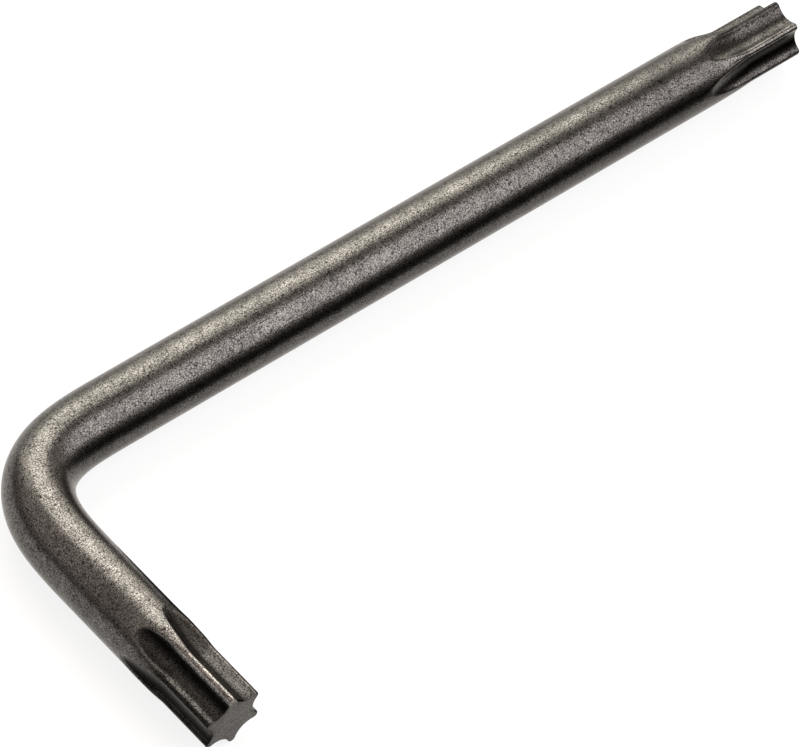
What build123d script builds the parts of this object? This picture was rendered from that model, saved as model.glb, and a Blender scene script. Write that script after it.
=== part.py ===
from build123d import *
import math
import os

# An L-shaped star-drive key: one round steel bar, bent once at a right angle, with a
# six-lobe star formed on both ends. It lies flat on its side. The long arm runs along X
# with its tip at +X, and the short arm runs from the bend towards -Y. The origin is
# under the middle of the key, on the surface that it lies on. All sizes are in mm.

# ---------------------------------------------------------------- the bent bar
bar_diameter = 4.0           # round bar
overall_length = 58.1        # back of the short arm to the end of the long arm
overall_width = 21.4         # back of the long arm to the end of the short arm
bend_radius = 5.45           # centre line of the bend

# ---------------------------------------------------------------- the six-lobe stars
lobe_count = 6
lobe_tip_radius = 0.22       # rounding of each lobe
end_edge_break = 0.08        # small bevel round each end face

# ---------------------------------------------------------------- tip of the short arm
short_star_diameter = 3.86   # across opposite lobes
short_star_core = 2.76       # across opposite flutes
short_full_depth = 3.4       # length of the flutes at full depth
short_run_out = 3.1          # length of the ramp on which they rise out of the bar
short_tip_turn = -5.0        # angle of the topmost lobe from straight up

# ---------------------------------------------------------------- tip of the long arm
long_star_diameter = 3.74    # formed a little smaller than the other star
long_star_core = 2.68
long_full_depth = 3.5
long_run_out = 2.9
long_tip_turn = 19.0
long_side_shift = 0.12       # this star sits slightly off the bar's centre line,
long_drop = 0.07             # towards the inside of the key and downwards

# ---------------------------------------------------------------- worked out from those
bar_radius = bar_diameter / 2
lobe_pitch = 360 / lobe_count
corner_x = bar_radius - overall_length / 2
corner_y = overall_width / 2 - bar_radius
long_end_x = overall_length / 2
short_end_y = -overall_width / 2
short_arm_length = overall_width - bar_radius - bend_radius
long_arm_length = overall_length - bar_radius - bend_radius

# Where the bar's centre line is, seen from the long star's own axis and topmost lobe.
long_bar_centre = Vector(long_drop, long_side_shift).rotate(Axis.Z, -long_tip_turn)

# Each flute's cut is carried on past the point where it has left the bar.
ramp_overrun = 1.5


def polar(radius, degrees):
    """A point of the section at this radius, at this angle round the axis."""
    return Vector(radius, 0).rotate(Axis.Z, degrees)


class Star:
    """A six-lobe outline about its own axis, with one lobe pointing along x.

    Each lobe is an arc about a centre on the lobe's own line. Each flute is an arc that
    touches the core circle halfway between two lobes and meets both lobe arcs smoothly,
    which gives its radius."""

    def __init__(self, across_lobes, across_flutes):
        self.radius = across_lobes / 2
        self.core = across_flutes / 2
        self.lobe_centre = self.radius - lobe_tip_radius
        slant = self.lobe_centre * math.cos(math.radians(lobe_pitch / 2))
        gap_squared = self.lobe_centre**2 + self.core**2 - 2 * slant * self.core
        flute_radius = (gap_squared - lobe_tip_radius**2) / (
            2 * (slant + lobe_tip_radius - self.core)
        )
        self.flute_centre = self.core + flute_radius

    def lobe_end(self, lobe_angle, side):
        """Where a lobe's arc meets the flute on one side of it (side is +1 or -1)."""
        centre = polar(self.lobe_centre, lobe_angle)
        flute = polar(self.flute_centre, lobe_angle + side * lobe_pitch / 2)
        return centre + (flute - centre).normalized() * lobe_tip_radius

    def half_lobe(self, lobe_angle, side):
        """Half of a lobe's arc, from its outermost point to its end at a flute."""
        centre = polar(self.lobe_centre, lobe_angle)
        start = polar(self.radius, lobe_angle)
        end = self.lobe_end(lobe_angle, side)
        halfway = ((start - centre) + (end - centre)).normalized() * lobe_tip_radius
        return ThreePointArc(start, centre + halfway, end)

    def flute(self, flute_angle):
        """The hollow between two neighbouring lobes, through its deepest point."""
        return ThreePointArc(
            self.lobe_end(flute_angle - lobe_pitch / 2, 1),
            polar(self.core, flute_angle),
            self.lobe_end(flute_angle + lobe_pitch / 2, -1),
        )

    def section(self):
        """The whole outline, filled."""
        edges = []
        for index in range(lobe_count):
            lobe_angle = index * lobe_pitch
            edges.append(self.half_lobe(lobe_angle, -1))
            edges.append(self.half_lobe(lobe_angle, 1))
            edges.append(self.flute(lobe_angle + lobe_pitch / 2))
        return make_face(Wire(edges))

    def gap(self, flute_angle):
        """All that lies outside one flute. It is bounded by the flute, by the near half
        of each lobe beside it, and by a straight side that touches each of those lobes
        at its outermost point. That side runs on far enough past it to overlap the
        next gap for as long as the two are still cutting into the bar."""
        before = flute_angle - lobe_pitch / 2
        after = flute_angle + lobe_pitch / 2
        outwards = polar(2 * bar_radius, flute_angle)
        corner_before = polar(self.radius, before) + polar(bar_radius, before - 90)
        corner_after = polar(self.radius, after) + polar(bar_radius, after + 90)
        sides = Polyline(
            polar(self.radius, after),
            corner_after,
            corner_after + outwards,
            corner_before + outwards,
            corner_before,
            polar(self.radius, before),
        )
        inside = [self.half_lobe(before, 1), self.flute(flute_angle), self.half_lobe(after, -1)]
        return make_face(Wire(inside + sides.edges()))


def bar_reach(bar_centre, degrees):
    """How far the bar's surface is from the star's axis in one direction, where the
    bar's centre line is at bar_centre from that axis."""
    direction = polar(1, degrees)
    along = bar_centre.dot(direction)
    across = bar_centre.cross(direction).length
    return along + math.sqrt(bar_radius**2 - across**2)


def arm(length, star, full_depth, run_out, bar_centre):
    """One arm, from its end face at z = 0 to the start of the bend, about the star's
    axis. The star is cut at full depth first. Past it is plain bar, into which each
    flute runs on and moves straight outwards, until it has left the bar."""
    tip = extrude(star.section(), full_depth)
    tip = chamfer(tip.edges().group_by(Axis.Z)[0], end_edge_break)
    bar = Pos(bar_centre.X, bar_centre.Y, full_depth) * Cylinder(
        bar_radius, length - full_depth, align=(Align.CENTER, Align.CENTER, Align.MIN)
    )
    for index in range(lobe_count):
        flute_angle = (index + 0.5) * lobe_pitch
        rise = bar_reach(bar_centre, flute_angle) - star.core
        ramp = polar(rise, flute_angle) + Vector(0, 0, run_out)
        cut = extrude(star.gap(flute_angle), ramp.length * ramp_overrun, dir=ramp)
        bar -= Pos(0, 0, full_depth) * cut
    return tip + bar


def bend():
    """The quarter turn between the two arms."""
    centre = (corner_x + bend_radius, corner_y - bend_radius, bar_radius)
    start = Plane((corner_x, centre[1], bar_radius), x_dir=(1, 0, 0), z_dir=(0, 1, 0))
    return revolve(start * Circle(bar_radius), Axis(centre, (0, 0, -1)), 90)


def star_key():
    """Both arms stood on the ends of the bend. In each arm's own frame z runs from the
    end face into the bar, and the topmost lobe points along x."""
    short_frame = Plane(
        (corner_x, short_end_y, bar_radius), x_dir=(0, 0, 1), z_dir=(0, 1, 0)
    ) * Rot(0, 0, short_tip_turn)
    long_frame = Plane(
        (long_end_x, corner_y - long_side_shift, bar_radius - long_drop),
        x_dir=(0, 0, 1),
        z_dir=(-1, 0, 0),
    ) * Rot(0, 0, long_tip_turn)
    short_star = Star(short_star_diameter, short_star_core)
    long_star = Star(long_star_diameter, long_star_core)
    short_arm = arm(short_arm_length, short_star, short_full_depth, short_run_out, Vector())
    long_arm = arm(
        long_arm_length, long_star, long_full_depth, long_run_out, long_bar_centre
    )
    return short_frame * short_arm + bend() + long_frame * long_arm


os.makedirs("parts", exist_ok=True)
export_step(star_key(), "parts/star_key.step")
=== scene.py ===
import math

import bpy
import numpy as np
from mathutils import Matrix, Vector


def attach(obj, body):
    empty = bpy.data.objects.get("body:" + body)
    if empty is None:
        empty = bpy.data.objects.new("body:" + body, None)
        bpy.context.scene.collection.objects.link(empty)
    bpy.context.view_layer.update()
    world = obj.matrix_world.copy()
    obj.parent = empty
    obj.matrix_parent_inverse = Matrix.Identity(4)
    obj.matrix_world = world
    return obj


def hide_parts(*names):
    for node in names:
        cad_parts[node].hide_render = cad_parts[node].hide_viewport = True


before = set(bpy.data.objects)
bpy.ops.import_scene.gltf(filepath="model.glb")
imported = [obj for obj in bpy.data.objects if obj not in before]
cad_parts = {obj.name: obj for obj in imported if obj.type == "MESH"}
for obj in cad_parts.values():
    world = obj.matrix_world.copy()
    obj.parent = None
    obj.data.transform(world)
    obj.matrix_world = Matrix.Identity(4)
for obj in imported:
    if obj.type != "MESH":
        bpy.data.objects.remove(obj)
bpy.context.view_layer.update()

# An L-shaped star-drive key of dark burnished steel, lying flat. Lengths below are in
# millimetres, as a maker would write them, and MM turns them into metres at the end.
# Angles round the bar are from straight up towards the outside of the bend.
MM = 0.001

# ------------------------------------------------------------------ the bent bar
BAR_RADIUS = 2.0
OVERALL_LENGTH = 58.1
OVERALL_WIDTH = 21.4
BEND_RUN = 12.7               # length of the bend along its centre line
BEND_EASING = 0.87            # how much tighter it is at its middle than at its ends
BEND_PRESSING = 0.045         # the bar is pressed a little flat where it was bent
BEND_POINTS = 1001            # points at which the bend's centre line is worked out

# ------------------------------------------------------------------ the star tips
LOBES = 6
LOBE_TIP_RADIUS = 0.22
END_EDGE_RADIUS = 0.09
TIP_LENGTH = 8.0              # past this the bar is plain
SWELL_PLACE = 5.65            # metal pushed up where the flutes run out
SWELL_LENGTH = 0.75

# The shape of each tip:
#   across, core     size across opposite lobes, and across opposite flutes
#   full             length of the flutes at full depth
#   run_out          where each flute has left the bar, from the one after the first
#                    lobe round towards the outside of the bend
#   soft, spoon      softness of the start of the ramp, and how much it steepens later
#   crease           width over which the edge between a flute and the bar is rounded
#   swell            height of the metal pushed up beside the run-outs
#   turn             angle of the first lobe, in degrees
#   up, out          how far the star is off the bar's centre line
# and its painted shade and painted highlights:
#   edge             depths below the bar's surface between which a flute's painted shade sets in
#   flute, wall      how dark the painted shade in a flute is, and how much darker on its walls
#   side             how much more painted shade the wall towards the outside of the bend gets
#   upper            how much more painted shade the walls beside the topmost lobe get
#   outer            how much more painted shade the flutes on the outside of the bend get
#   crest_painted_light     how bright the painted highlight on the crests of one side is
#   crest_painted_light_at  angle of the middle of that side, in degrees
SHORT_TIP = dict(
    across=3.86, core=2.76, full=3.4, run_out=(6.57, 6.57, 6.57, 6.57, 6.57, 6.57),
    soft=0.35, spoon=0.35, crease=0.05, swell=0.045, turn=5.0, up=0.0, out=0.0,
    edge=(0.02, 0.12), flute=0.72, wall=0.18, side=0.0, upper=0.2, outer=0.15,
    crest_painted_light=0.75, crest_painted_light_at=0.0,
)
LONG_TIP = dict(
    across=3.74, core=2.68, full=3.5, run_out=(6.45, 6.4, 6.3, 6.5, 6.84, 6.2),
    soft=0.35, spoon=0.2, crease=0.12, swell=0.01, turn=19.0, up=-0.07, out=-0.12,
    edge=(0.05, 0.45), flute=0.14, wall=0.05, side=0.33, upper=0.0, outer=-1.0,
    crest_painted_light=0.62, crest_painted_light_at=-41.0,
)

# ------------------------------------------------------------------ how bright it is, with painted shade and painted highlights
# How bright the steel is, by distance along the key from the short arm's end face: partly its
# own tone, darker past the bend, and partly painted light, a painted highlight on the short
# arm and painted shade towards the long arm's far end.
RUN_TONE_PLACES = (0, 16.5, 20.5, 22.5, 27, 42, 60, 64.5, 70)
RUN_TONE_AND_PAINTED_LIGHT = (1.3, 1.3, 0.80, 0.77, 0.83, 0.83, 0.72, 0.62, 0.72)
FACE_TONE = 0.66           # the end faces
WALL_ANGLES = (8, 18)         # degrees off a flute's middle between which its wall starts,
CREST_ANGLES = (18.5, 23.5)   # and between which the lobe's crest starts
SIDE_ANGLES = (-12, 12)       # degrees between which one wall gives way to the other
DARKEST = 0.94                # share of the tone that a flute's painted shade can take away
CREST_LIGHT_COSINE = 0.75            # cosine of the angle past which crests get no painted highlight
LEAST_CREST_LIGHT = -1.05          # how much painted shade the other crests get instead, at most
CREST_LIGHT_PAST = 2.8             # the painted highlight and shade on the crests fade over this length past full depth
UNDERSIDE_PAINTED_SHADE = 0.17      # share of its tone that the underside loses to painted shade,
UNDERSIDE_REACH = (-0.1, 0.2)  # starting between these depths, in bar radii, below its middle
OUTSIDE_PAINTED_SHADE = 0.17        # share of its tone that the outside of the short arm and bend loses to painted shade,
OUTSIDE_REACH = (0.6, 0.9)    # starting between these distances outwards, in bar radii,
OUTSIDE_RUN = (20, 27)        # and fading between these distances along the key

# ------------------------------------------------------------------ how fine the skin is
POINTS_ROUND = 432
EDGE_RINGS = 8
TIP_RINGS = 66
BEND_RINGS = 56
SHORT_PLAIN_RINGS = 4
LONG_PLAIN_RINGS = 14
FACE_RINGS = 5

# ------------------------------------------------------------------ the steel
STEEL = (0.106, 0.0985, 0.092)
STEEL_EDGE = (1.0, 0.97, 0.94, 1)  # its colour where it is seen at a glancing angle
# How many of each there are in a metre, and the tones that each runs between.
CELLS = 6800                  # pale grains, parted by dark crevices
CREVICE_WIDTH = (0.0, 0.15)   # in grains
CREVICE_TONE = (0.17, 1.18)
FRAYING = 7500                # noise that frays the edges of the grains
FRAYING_NOISE = (0.2, 0.8)
FRAYING_REACH = (-0.09, 0.10)
SPECKS = 14000
SPECK_TONE = (0.65, 1.35)
PATCHES = 2600
PATCH_TONE = (0.84, 1.18)
MOTTLING = 700
MOTTLE_TONE = (0.85, 1.17)
MIDDLE_NOISE = (0.3, 0.7)     # most of a noise lies between these
CREVICE_DEPTH = 2.2e-6        # metres
ROUGHNESS_TONE = (0.15, 1.2)  # from the crevices' tone to the grains',
ROUGHNESS = (0.30, 0.22)      # the steel gets smoother

# ------------------------------------------------------------------ the studio
FLOOR_COLOUR = (0.17, 0.17, 0.17, 1)
FLOOR_GLOW = 0.84
FLOOR_RADII = (0.02, 3.0)     # metres, from the first ring to the rim
FLOOR_RINGS = 24
FLOOR_AROUND = 96
MAT_COLOUR = (0.01, 0.01, 0.01, 1)
MAT_GAP_SHORT = 1.5           # from the short arm
MAT_GAP_LONG = 3.7            # from the long arm
MAT_LIFT = 0.02
MAT_SIZE = 500
# Each softbox: its name, azimuth and elevation, width and height in degrees as the key
# sees it, radiance, colour, and distance in metres.
SOFTBOXES = (
    ("back_softbox", 65, 28, 68, 44, 2.1, (1.0, 1.0, 0.92), 0.21),
    ("back_softbox_middle", 66, 46, 36, 40, 4.0, (1.0, 1.0, 0.92), 0.20),
    ("side_softbox", 310, 43, 48, 44, 3.4, (0.98, 0.97, 1.0), 0.30),
)
SURROUND_COLOUR = (1.0, 0.90, 0.84, 1)
SURROUND_HEIGHT = (0.06, 0.45)
SURROUND_LEVEL = (0.06, 0.70)
LENS = 271.1
SENSOR = 36
VIEW_AZIMUTH, VIEW_ELEVATION, VIEW_ROLL = 42.2549, -49.8233, 9.5001
CAMERA_PLACE = (-158.974, -137.956, 248.132)

# ------------------------------------------------------------------ worked out from those
CORNER_X = BAR_RADIUS - OVERALL_LENGTH / 2
CORNER_Y = OVERALL_WIDTH / 2 - BAR_RADIUS
SHORT_END_Y = -OVERALL_WIDTH / 2
LONG_END_X = OVERALL_LENGTH / 2
LOBE_PITCH = 2 * math.pi / LOBES
BEND_SHARE = np.linspace(0, 1, BEND_POINTS)
BEND_TURN = (math.pi / 2) * (
    BEND_SHARE - BEND_EASING * np.sin(2 * math.pi * BEND_SHARE) / (2 * math.pi)
)


def summed(rate):
    """The running integral of a rate along the bend, by trapezia."""
    steps = (rate[1:] + rate[:-1]) / 2 * (BEND_RUN / (len(rate) - 1))
    return np.concatenate([[0], np.cumsum(steps)])


BEND_X = summed(np.sin(BEND_TURN))
BEND_Y = summed(np.cos(BEND_TURN))
SHORT_RUN = CORNER_Y - BEND_Y[-1] - SHORT_END_Y
LONG_RUN = LONG_END_X - CORNER_X - BEND_X[-1]
WHOLE_RUN = SHORT_RUN + BEND_RUN + LONG_RUN


# ------------------------------------------------------------------ shapes
def eased(value, start, end):
    """A share from 0 at start to 1 at end, level at both: three times the square of the
    straight share, less twice its cube."""
    share = np.clip((value - start) / (end - start), 0, 1)
    return share * share * (3 - 2 * share)


def smooth_lesser(a, b, width):
    """The lesser of a and b, with the corner between them rounded over this width: a
    parabola replaces the corner where the two are less than width apart."""
    share = np.clip(0.5 + 0.5 * (b - a) / width, 0, 1)
    return b * (1 - share) + a * share - width * share * (1 - share)


def soft_ramp(distance, softness):
    """Nothing before 0 and then a straight rise, through a hyperbola: the root of
    distance squared plus softness squared, less softness."""
    return np.sqrt(np.maximum(distance, 0) ** 2 + softness**2) - softness


def flute_outline(theta, rise, tip):
    """Distance from the star's axis to one flute's outline, at angle theta from the
    flute's middle, when that outline has moved straight outwards by rise.

    The outline is an arc for the flute, an arc of LOBE_TIP_RADIUS for the half lobe
    beside it, and past the lobe's crest a straight line square to the lobe. Each
    distance is where a ray from the axis meets that arc or line."""
    half_pitch = LOBE_PITCH / 2
    outer, core = tip["across"] / 2, tip["core"] / 2
    lobe = outer - LOBE_TIP_RADIUS
    lobe_x, lobe_y = lobe * math.cos(half_pitch), lobe * math.sin(half_pitch)
    flute_radius = (lobe**2 + core**2 - 2 * lobe_x * core - LOBE_TIP_RADIUS**2) / (
        2 * (lobe_x + LOBE_TIP_RADIUS - core)
    )
    flute_centre = core + flute_radius
    reach = math.hypot(flute_centre - lobe_x, lobe_y)
    touch_x = lobe_x + (flute_centre - lobe_x) / reach * LOBE_TIP_RADIUS
    touch_y = lobe_y * (1 - LOBE_TIP_RADIUS / reach)
    theta = np.abs(theta)
    far = flute_centre + rise
    flute = far * np.cos(theta) - np.sqrt(
        np.maximum(flute_radius**2 - (far * np.sin(theta)) ** 2, 0)
    )
    moved_x = lobe_x + rise
    along = moved_x * np.cos(theta) + lobe_y * np.sin(theta)
    aside = lobe_y * np.cos(theta) - moved_x * np.sin(theta)
    crest = along + np.sqrt(np.maximum(LOBE_TIP_RADIUS**2 - aside**2, 0))
    side = (outer + rise * math.cos(half_pitch)) / np.cos(half_pitch - theta)
    flute_ends = np.arctan2(touch_y, touch_x + rise)
    crest_ends = np.arctan2(
        outer * math.sin(half_pitch), outer * math.cos(half_pitch) + rise
    )
    return np.where(
        theta < flute_ends, flute, np.where(theta < crest_ends, crest, side)
    )


def bar_surface(phi, tip):
    """Distance from a star's axis to the round bar's surface at angle phi, where the
    bar's centre line is off that axis: the ray from the axis meets the circle."""
    up, out = -tip["up"], -tip["out"]
    along = up * np.cos(phi) + out * np.sin(phi)
    aside = out * np.cos(phi) - up * np.sin(phi)
    return along + np.sqrt(BAR_RADIUS**2 - aside**2)


def tip_surface(depth, phi, tip):
    """Distance from a star's axis to its surface, at this depth from the end face.

    Each flute's outline moves outwards along a soft ramp, until it has left the bar at
    the end of its run-out. The ramp is mixed with a quarter circle, which steepens it
    towards that end. The surface is whichever is nearer the axis, the flute or the
    bar, with the crease between them rounded. The upper side of the bar is swollen
    beside the run-outs: a bell curve of the depth, times a cosine that is 0 at each
    flute's middle. At the end face a quarter round takes off the sharp edge."""
    first = math.radians(tip["turn"])
    index = np.floor((phi - first) / LOBE_PITCH)
    middle = first + (index + 0.5) * LOBE_PITCH
    theta = phi - middle
    end = np.take(tip["run_out"], index.astype(int) % LOBES)
    height = bar_surface(middle, tip) - tip["core"] / 2
    risen = soft_ramp(depth - tip["full"], tip["soft"]) / soft_ramp(
        end - tip["full"], tip["soft"]
    )
    steeper = np.where(risen < 1, 1 - np.sqrt(1 - np.minimum(risen, 1) ** 2), risen)
    rise = height * (risen + tip["spoon"] * (steeper - risen))
    swell = tip["swell"] * np.exp(-(((depth - SWELL_PLACE) / SWELL_LENGTH) ** 2))
    swell = swell * (0.5 - 0.5 * np.cos(LOBES * theta)) * (0.5 + 0.5 * np.cos(phi))
    surface = smooth_lesser(
        flute_outline(theta, rise, tip), bar_surface(phi, tip) + swell, tip["crease"]
    )
    left = np.clip(1 - depth / END_EDGE_RADIUS, 0, 1)
    return surface - END_EDGE_RADIUS * (1 - np.sqrt(1 - left**2))


def key_surface(run, phi):
    """A point of the key's skin. run is the distance along the bar's centre line from
    the short arm's end face, and phi the angle round it.

    The centre line is straight, then turns a quarter, then straight. In the bend its
    angle is the share of the bend's length less a sine of it, so that it is tightest
    in the middle. The skin stands off it by the tip's or the bar's radius along up
    times cos phi plus out times sin phi, and the bend's inner and outer sides are
    pressed in by the square of a sine of the share."""
    share = np.clip((run - SHORT_RUN) / BEND_RUN, 0, 1)
    turned = np.interp(share, BEND_SHARE, BEND_TURN)
    x = CORNER_X + np.interp(share, BEND_SHARE, BEND_X) + np.maximum(
        run - SHORT_RUN - BEND_RUN, 0
    )
    y = SHORT_END_Y + np.minimum(run, SHORT_RUN) + np.interp(share, BEND_SHARE, BEND_Y)
    pressed = BEND_PRESSING * np.sin(math.pi * share) ** 2 * np.sin(phi) ** 2
    radius, off_up, off_out = BAR_RADIUS - pressed, 0, 0
    for depth, tip in ((run, SHORT_TIP), (WHOLE_RUN - run, LONG_TIP)):
        near = depth < TIP_LENGTH
        radius = np.where(near, tip_surface(depth, phi, tip), radius)
        off_up = off_up + np.where(near, tip["up"], 0)
        off_out = off_out + np.where(near, tip["out"], 0)
    up = off_up + radius * np.cos(phi)
    out = off_out + radius * np.sin(phi)
    return np.stack([x - out * np.cos(turned), y + out * np.sin(turned), BAR_RADIUS + up], -1)


def spaced_rings():
    """Distances along the key at which the skin has a ring: close together on the end
    edges and the stars, wider on the bend and widest on the plain bar."""
    edge = END_EDGE_RADIUS * (1 - np.cos(np.linspace(0, math.pi / 2, EDGE_RINGS)))
    tip = np.linspace(END_EDGE_RADIUS, TIP_LENGTH, TIP_RINGS)[1:]
    short_plain = np.linspace(TIP_LENGTH, SHORT_RUN, SHORT_PLAIN_RINGS)[1:]
    bend = SHORT_RUN + np.linspace(0, BEND_RUN, BEND_RINGS)[1:]
    long_plain = np.linspace(
        SHORT_RUN + BEND_RUN, WHOLE_RUN - TIP_LENGTH, LONG_PLAIN_RINGS
    )[1:]
    end = WHOLE_RUN - np.concatenate([edge, tip])[::-1][1:]
    return np.concatenate([edge, tip, short_plain, bend, long_plain, end])


def end_face(ring, centre, share):
    """Rings inside an end face: the face's own outline drawn in towards its centre, to
    each of these shares of its size."""
    return centre + (ring - centre) * share[:, None, None]


# ------------------------------------------------------------------ tones, with painted shade and painted highlights
def tip_painted_light(depth, phi, tip):
    """How much brighter a tip is than the bar, with painted shade and painted highlights: a
    product of two shares.

    A flute is darker by its distance below the bar's surface, and more so on its walls:
    painted shade. The wall that is darker changes with a sine of twice the angle round
    the bar, and the flutes as a whole with a sine of the angle. The crests of the lobes
    get a painted highlight on one side and painted shade on the others, by a cosine of
    their angle from the middle of that side."""
    theta = (phi - math.radians(tip["turn"])) % LOBE_PITCH - LOBE_PITCH / 2
    below = bar_surface(phi, tip) - tip_surface(depth, phi, tip)
    crest = eased(np.abs(theta), *np.radians(CREST_ANGLES))
    wall = eased(np.abs(theta), *np.radians(WALL_ANGLES))
    side = 2 * eased(theta, *np.radians(SIDE_ANGLES)) - 1
    lean = tip["side"] - tip["upper"] * np.sin(2 * phi)
    # painted shade in the flutes, darker on their walls and on one side
    dark = tip["flute"] + tip["wall"] * wall + lean * side
    dark = np.clip(dark + tip["outer"] * np.sin(phi), 0, DARKEST)
    # crests facing one side get a painted highlight, the others painted shade
    facing = np.cos(phi - math.radians(tip["crest_painted_light_at"])) - CREST_LIGHT_COSINE
    crest_painted_light = tip["crest_painted_light"] * np.maximum(facing / (1 - CREST_LIGHT_COSINE), LEAST_CREST_LIGHT)
    crest_painted_light = crest_painted_light * eased(tip["full"] + CREST_LIGHT_PAST - depth, 0, CREST_LIGHT_PAST)
    tone = (1 - eased(below, *tip["edge"]) * (1 - crest) * dark) * (1 + crest_painted_light * crest)
    return np.where(depth < TIP_LENGTH, tone, 1)


def tone_and_painted_light(run, phi):
    """How bright the steel is at a point of the skin: by distance along the key, partly its
    own tone and partly painted highlight and shade, with painted shade in the flutes,
    painted highlights and shade on the lobes' crests, and a little painted shade
    underneath and round the outside of the bend."""
    short = tip_painted_light(run, phi, SHORT_TIP)
    long = tip_painted_light(WHOLE_RUN - run, phi, LONG_TIP)
    # painted shade: darker underneath, and round the outside of the short arm and bend
    under = 1 - UNDERSIDE_PAINTED_SHADE * eased(-np.cos(phi), *UNDERSIDE_REACH)
    outside = eased(np.sin(phi), *OUTSIDE_REACH) * (1 - eased(run, *OUTSIDE_RUN))
    painted_shade = under * (1 - OUTSIDE_PAINTED_SHADE * outside)
    return np.interp(run, RUN_TONE_PLACES, RUN_TONE_AND_PAINTED_LIGHT) * short * long * painted_shade


# ------------------------------------------------------------------ meshes
def ring_faces(count, around):
    """The quads that join each of count rings of points to the next ring."""
    row = np.arange(count - 1)[:, None] * around
    column = np.arange(around)[None, :]
    after = (column + 1) % around
    return np.stack(
        [row + column, row + around + column, row + around + after, row + after], -1
    ).reshape(-1, 4).tolist()


def fan_faces(pole, start, around, backwards=False):
    """The triangles that join one point to the ring of points from start onwards."""
    column = np.arange(around)
    after = (column + 1) % around
    first, second = (after, column) if backwards else (column, after)
    return np.stack([np.full(around, pole), start + first, start + second], -1).tolist()


def new_piece(name, points, faces):
    """A mesh object in the scene, from points in metres."""
    mesh = bpy.data.meshes.new(name)
    mesh.from_pydata(points.tolist(), [], faces)
    mesh.update()
    piece = bpy.data.objects.new(name, mesh)
    bpy.context.scene.collection.objects.link(piece)
    return piece


def make_key():
    """The whole key as one closed skin: the rings of key_surface, with both end faces,
    each of which closes on the point at its centre. The tone of each point, with its
    painted shade and painted highlights, goes into an attribute."""
    run, phi = np.meshgrid(
        spaced_rings(),
        np.linspace(0, 2 * math.pi, POINTS_ROUND, endpoint=False),
        indexing="ij",
    )
    body = key_surface(run, phi)
    short_centre = np.array([CORNER_X, SHORT_END_Y, BAR_RADIUS]) + np.array(
        [-SHORT_TIP["out"], 0, SHORT_TIP["up"]]
    )
    long_centre = np.array([LONG_END_X, CORNER_Y, BAR_RADIUS]) + np.array(
        [0, LONG_TIP["out"], LONG_TIP["up"]]
    )
    share = np.arange(1, FACE_RINGS) / FACE_RINGS
    rings = np.concatenate(
        [
            end_face(body[0], short_centre, share),
            body,
            end_face(body[-1], long_centre, share[::-1]),
        ]
    )
    count = len(rings) * POINTS_ROUND
    points = np.concatenate([rings.reshape(-1, 3), [short_centre], [long_centre]])
    faces = ring_faces(len(rings), POINTS_ROUND)
    faces += fan_faces(count, 0, POINTS_ROUND)
    faces += fan_faces(count + 1, count - POINTS_ROUND, POINTS_ROUND, backwards=True)
    key = new_piece("key_skin", points * MM, faces)
    key.data.polygons.foreach_set("use_smooth", np.ones(len(faces), bool))
    face_tone = np.full((len(share), POINTS_ROUND), FACE_TONE)
    tone = np.concatenate([face_tone, tone_and_painted_light(run, phi), face_tone])
    key.data.attributes.new("tone_and_painted_light", "FLOAT", "POINT").data.foreach_set(
        "value", np.append(tone.ravel(), [FACE_TONE, FACE_TONE])
    )
    key.data.update()
    return key


# ------------------------------------------------------------------ materials
def new_material(name):
    """An empty node material with its output, ready for wiring."""
    material = bpy.data.materials.new(name)
    material.use_nodes = True
    tree = material.node_tree
    tree.nodes.clear()
    output = tree.nodes.new("ShaderNodeOutputMaterial")
    return material, tree, output


def combined(tree, operation, first, second):
    """One step of arithmetic on two values, either of which may be a plain number."""
    node = tree.nodes.new("ShaderNodeMath")
    node.operation = operation
    for socket, value in zip(node.inputs, (first, second)):
        if isinstance(value, float):
            socket.default_value = value
        else:
            tree.links.new(value, socket)
    return node.outputs["Value"]


def times(tree, first, second):
    """The product of two values."""
    return combined(tree, "MULTIPLY", first, second)


def spread(tree, value, given, wanted):
    """Carries a value from one range to another, in a straight line, clamped."""
    node = tree.nodes.new("ShaderNodeMapRange")
    tree.links.new(value, node.inputs["Value"])
    for socket, number in zip(node.inputs[1:5], (*given, *wanted)):
        socket.default_value = number
    return node.outputs["Result"]


def noise(tree, where, scale, given, wanted, detail=1.0):
    """A noise pattern with this many cells in a metre, spread over the wanted range."""
    node = tree.nodes.new("ShaderNodeTexNoise")
    node.inputs["Scale"].default_value = scale
    node.inputs["Detail"].default_value = detail
    tree.links.new(where, node.inputs["Vector"])
    return spread(tree, node.outputs["Fac"], given, wanted)


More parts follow.
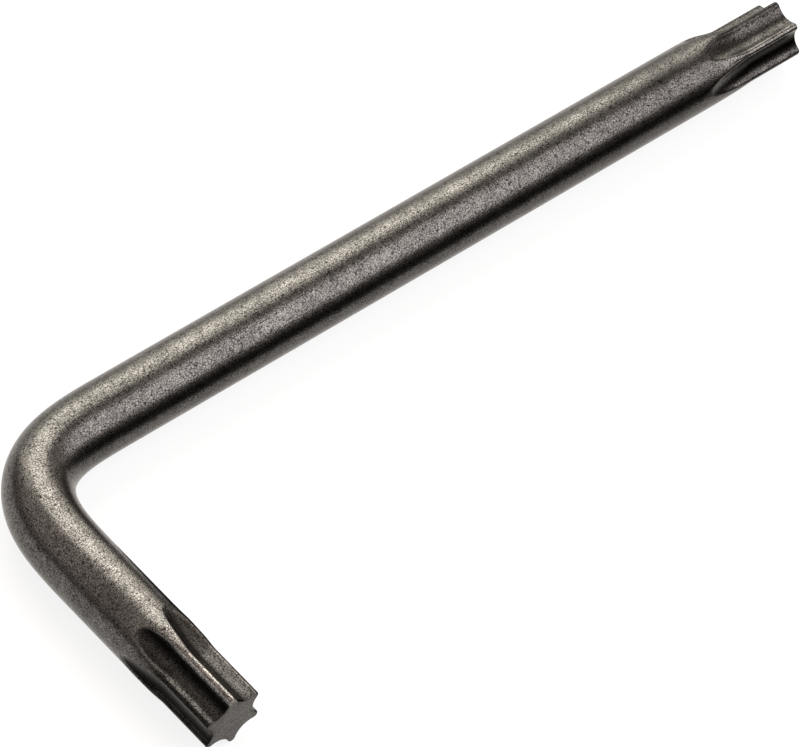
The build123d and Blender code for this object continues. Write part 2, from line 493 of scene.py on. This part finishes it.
def burnished_steel():
    """Dark steel with a dense pebbled grain: pale grains parted by dark crevices, each
    with finer specks, over small patches and a slow mottling. All of those multiply
    the steel's colour, with the tone and the painted shade and highlights that the
    skin's attribute gives."""
    material, tree, output = new_material("burnished_steel")
    links = tree.links
    where = tree.nodes.new("ShaderNodeTexCoord").outputs["Object"]
    grains = tree.nodes.new("ShaderNodeTexVoronoi")
    grains.feature = "DISTANCE_TO_EDGE"
    grains.inputs["Scale"].default_value = CELLS
    links.new(where, grains.inputs["Vector"])
    fray = noise(tree, where, FRAYING, FRAYING_NOISE, FRAYING_REACH)
    edge = combined(tree, "ADD", grains.outputs["Distance"], fray)
    crevice = spread(tree, edge, CREVICE_WIDTH, CREVICE_TONE)
    speck = noise(tree, where, SPECKS, MIDDLE_NOISE, SPECK_TONE)
    mottle = noise(tree, where, MOTTLING, MIDDLE_NOISE, MOTTLE_TONE, detail=2.0)
    patch = noise(tree, where, PATCHES, MIDDLE_NOISE, PATCH_TONE)
    # the skin's tone, with its painted shade and painted highlights
    tone_and_light_attribute = tree.nodes.new("ShaderNodeAttribute")
    tone_and_light_attribute.attribute_name = "tone_and_painted_light"
    grain = times(tree, crevice, speck)
    bright = times(tree, mottle, tone_and_light_attribute.outputs["Fac"])
    tone = times(tree, grain, times(tree, bright, patch))
    colour = tree.nodes.new("ShaderNodeVectorMath")
    colour.operation = "SCALE"
    colour.inputs[0].default_value = STEEL
    links.new(tone, colour.inputs["Scale"])
    bump = tree.nodes.new("ShaderNodeBump")
    bump.inputs["Distance"].default_value = CREVICE_DEPTH
    bump.inputs["Strength"].default_value = 1.0
    links.new(grain, bump.inputs["Height"])
    shader = tree.nodes.new("ShaderNodeBsdfPrincipled")
    shader.inputs["Metallic"].default_value = 1.0
    shader.inputs["Specular Tint"].default_value = STEEL_EDGE
    links.new(colour.outputs["Vector"], shader.inputs["Base Color"])
    links.new(spread(tree, crevice, ROUGHNESS_TONE, ROUGHNESS), shader.inputs["Roughness"])
    links.new(bump.outputs["Normal"], shader.inputs["Normal"])
    links.new(shader.outputs["BSDF"], output.inputs["Surface"])
    return material


def matt(tree, colour):
    """A plain matt shader of this colour."""
    node = tree.nodes.new("ShaderNodeBsdfDiffuse")
    node.inputs["Color"].default_value = colour
    return node.outputs["BSDF"]


def pale_floor():
    """A pale matt floor. Rays from the camera, from gloss and through glass also see a
    white glow, which makes it a white background and leaves a soft shadow."""
    material, tree, output = new_material("pale_floor")
    path = tree.nodes.new("ShaderNodeLightPath").outputs
    seen = combined(tree, "MAXIMUM", path["Is Camera Ray"], path["Is Glossy Ray"])
    seen = combined(tree, "MAXIMUM", seen, path["Is Transmission Ray"])
    glow = tree.nodes.new("ShaderNodeEmission")
    tree.links.new(times(tree, seen, FLOOR_GLOW), glow.inputs["Strength"])
    both = tree.nodes.new("ShaderNodeAddShader")
    tree.links.new(matt(tree, FLOOR_COLOUR), both.inputs[0])
    tree.links.new(glow.outputs["Emission"], both.inputs[1])
    tree.links.new(both.outputs["Shader"], output.inputs["Surface"])
    return material


# ------------------------------------------------------------------ the studio
def make_floor():
    """A round floor: rings of points whose radius grows in equal ratios."""
    radii = np.geomspace(*FLOOR_RADII, FLOOR_RINGS)
    angle = np.linspace(0, 2 * math.pi, FLOOR_AROUND, endpoint=False)
    ring = np.stack([np.cos(angle), np.sin(angle), np.zeros(FLOOR_AROUND)], -1)
    rings = radii[:, None, None] * ring
    points = np.concatenate([rings.reshape(-1, 3), [[0, 0, 0]]])
    faces = ring_faces(FLOOR_RINGS, FLOOR_AROUND)
    faces += fan_faces(len(points) - 1, 0, FLOOR_AROUND)
    floor = new_piece("floor", points, faces)
    floor.data.materials.append(pale_floor())


def black_mat():
    """A matt black card on the floor inside the key's corner, as a studio uses to put a
    dark line into a shiny part. Only gloss sees it: it shows nowhere else and throws
    no shadow."""
    left, right = CORNER_X + BAR_RADIUS + MAT_GAP_SHORT, MAT_SIZE
    front, back = -MAT_SIZE, CORNER_Y - BAR_RADIUS - MAT_GAP_LONG
    corners = np.array(
        [
            [left, front, MAT_LIFT],
            [right, front, MAT_LIFT],
            [right, back, MAT_LIFT],
            [left, back, MAT_LIFT],
        ]
    )
    mat = new_piece("black_mat", corners * MM, [[0, 1, 2, 3]])
    card, tree, output = new_material("black_card")
    tree.links.new(matt(tree, MAT_COLOUR), output.inputs["Surface"])
    mat.data.materials.append(card)
    mat.visible_camera = False
    mat.visible_diffuse = False
    mat.visible_transmission = False
    mat.visible_shadow = False


def direction(azimuth, elevation):
    """The unit vector at these angles in degrees."""
    a, e = math.radians(azimuth), math.radians(elevation)
    return Vector((math.cos(e) * math.cos(a), math.cos(e) * math.sin(a), math.sin(e)))


def softbox(name, azimuth, elevation, wide, tall, radiance, colour, distance):
    """A rectangular lamp that faces the key. Its sides are twice the distance times the
    tangent of half the angle they fill, and its power is pi times its radiance and
    its area."""
    lamp = bpy.data.lights.new(name, "AREA")
    lamp.shape = "RECTANGLE"
    lamp.size = 2 * distance * math.tan(math.radians(wide / 2))
    lamp.size_y = 2 * distance * math.tan(math.radians(tall / 2))
    lamp.energy = radiance * math.pi * lamp.size * lamp.size_y
    lamp.color = colour
    box = bpy.data.objects.new(name, lamp)
    bpy.context.scene.collection.objects.link(box)
    away = direction(azimuth, elevation)
    box.location = away * distance
    box.rotation_euler = away.to_track_quat("Z", "Y").to_euler()
    box.visible_camera = False


def make_lights():
    """The key's studio: a large softbox behind it that is brighter in its middle,
    another at its right, and a pale ceiling that darkens towards the horizon."""
    for box in SOFTBOXES:
        softbox(*box)
    world = bpy.data.worlds.new("surround")
    world.use_nodes = True
    tree = world.node_tree
    where = tree.nodes.new("ShaderNodeTexCoord").outputs["Generated"]
    height = tree.nodes.new("ShaderNodeSeparateXYZ")
    tree.links.new(where, height.inputs["Vector"])
    level = spread(tree, height.outputs["Z"], SURROUND_HEIGHT, SURROUND_LEVEL)
    surround = tree.nodes["Background"].inputs
    surround["Color"].default_value = SURROUND_COLOUR
    tree.links.new(level, surround["Strength"])
    bpy.context.scene.world = world


def make_camera():
    """A long lens that looks down at the key from beyond the short arm, from its outer
    side, and is turned a little on its axis."""
    camera = bpy.data.cameras.new("camera")
    camera.sensor_width = SENSOR
    camera.lens = LENS
    holder = bpy.data.objects.new("camera", camera)
    forward = direction(VIEW_AZIMUTH, VIEW_ELEVATION)
    level = forward.cross(Vector((0, 0, 1))).normalized()
    upright = level.cross(forward)
    roll = math.radians(VIEW_ROLL)
    right = level * math.cos(roll) + upright * math.sin(roll)
    up = right.cross(forward)
    turn = Matrix((right, up, -forward)).transposed()
    place = Matrix.Translation(Vector(CAMERA_PLACE) * MM)
    holder.matrix_world = place @ turn.to_4x4()
    bpy.context.scene.collection.objects.link(holder)
    bpy.context.scene.camera = holder


key = make_key()
key.data.materials.append(burnished_steel())
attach(key, "root")
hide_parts("star_key")
make_floor()
black_mat()
make_lights()
make_camera()
bpy.context.scene.view_settings.view_transform = "Standard"
